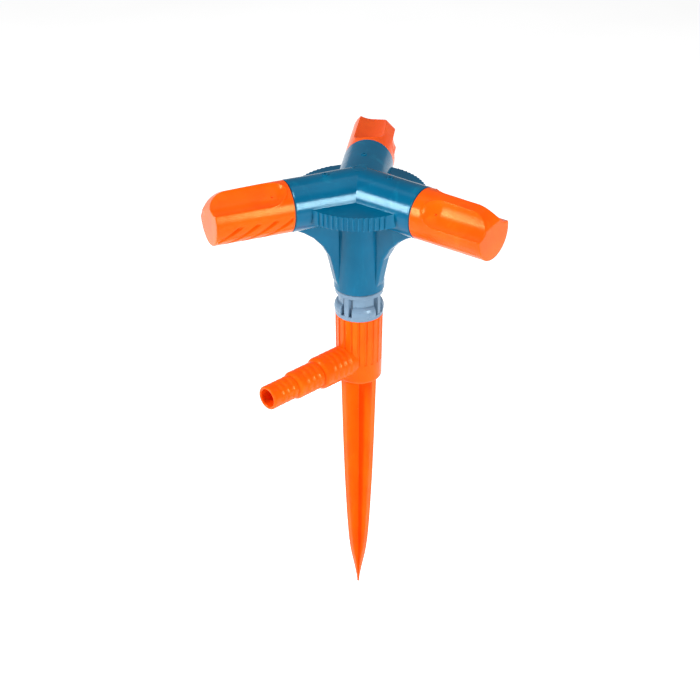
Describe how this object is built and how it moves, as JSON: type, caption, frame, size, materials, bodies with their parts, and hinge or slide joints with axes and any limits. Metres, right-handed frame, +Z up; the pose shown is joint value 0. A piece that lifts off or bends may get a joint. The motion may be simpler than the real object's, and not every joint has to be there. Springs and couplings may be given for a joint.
{
  "type": "lawn sprinkler",
  "caption": "Spinning lawn sprinkler: hollow rotor with turnable scooped nozzle caps on arms, running on a collar spindle over a ground spike with a stepped hose barb.",
  "frame": {"origin": "tip of the ground spike", "axes": "+Z up along the spike and the rotor's spin axis, -X out of the hose barb"},
  "size_m": [0.1701, 0.1624, 0.2986],
  "materials": {
    "orange_plastic": "semi-gloss moulded polypropylene",
    "teal_plastic": "semi-gloss moulded polypropylene",
    "grey_plastic": "satin acetal",
    "white_plastic": "satin acetal",
    "black_rubber": "matte nitrile rubber",
    "spring_steel": "stainless"
  },
  "bodies": {
    "base": {"spike_base": "orange_plastic", "spindle": "grey_plastic", "spindle_o_ring_lower": "black_rubber", "spindle_o_ring_upper": "black_rubber", "collar_washer": "white_plastic", "thrust_washer": "white_plastic", "retaining_ring": "spring_steel"},
    "rotor": {"rotor_body": "teal_plastic", "lower_bush": "white_plastic", "seal_backing_ring": "white_plastic", "lip_seal": "black_rubber", "upper_bush": "white_plastic"},
    "cap_rear": {"nozzle_cap_rear": "orange_plastic", "joint_washer_rear": "black_rubber", "arm_o_ring_rear": "black_rubber"},
    "cap_left": {"nozzle_cap_left": "orange_plastic", "joint_washer_left": "black_rubber", "arm_o_ring_left": "black_rubber"},
    "cap_right": {"nozzle_cap_right": "orange_plastic", "joint_washer_right": "black_rubber", "arm_o_ring_right": "black_rubber"}
  },
  "joints": [
    {"name": "rotor_spin", "type": "hinge", "parent": "base", "child": "rotor", "pos_m": [0, 0, 0.24], "axis": [0, 0, 1], "continuous": true},
    {"name": "cap_rear_turn", "type": "hinge", "parent": "rotor", "child": "cap_rear", "pos_m": [0.03501, 0.02827, 0.2827], "axis": [0.778, 0.6282, 0], "continuous": true},
    {"name": "cap_left_turn", "type": "hinge", "parent": "rotor", "child": "cap_left", "pos_m": [-0.04199, 0.01619, 0.2827], "axis": [-0.9331, 0.3597, 0], "continuous": true},
    {"name": "cap_right_turn", "type": "hinge", "parent": "rotor", "child": "cap_right", "pos_m": [0.00698, -0.04446, 0.2827], "axis": [0.1551, -0.9879, 0], "continuous": true}
  ]
}
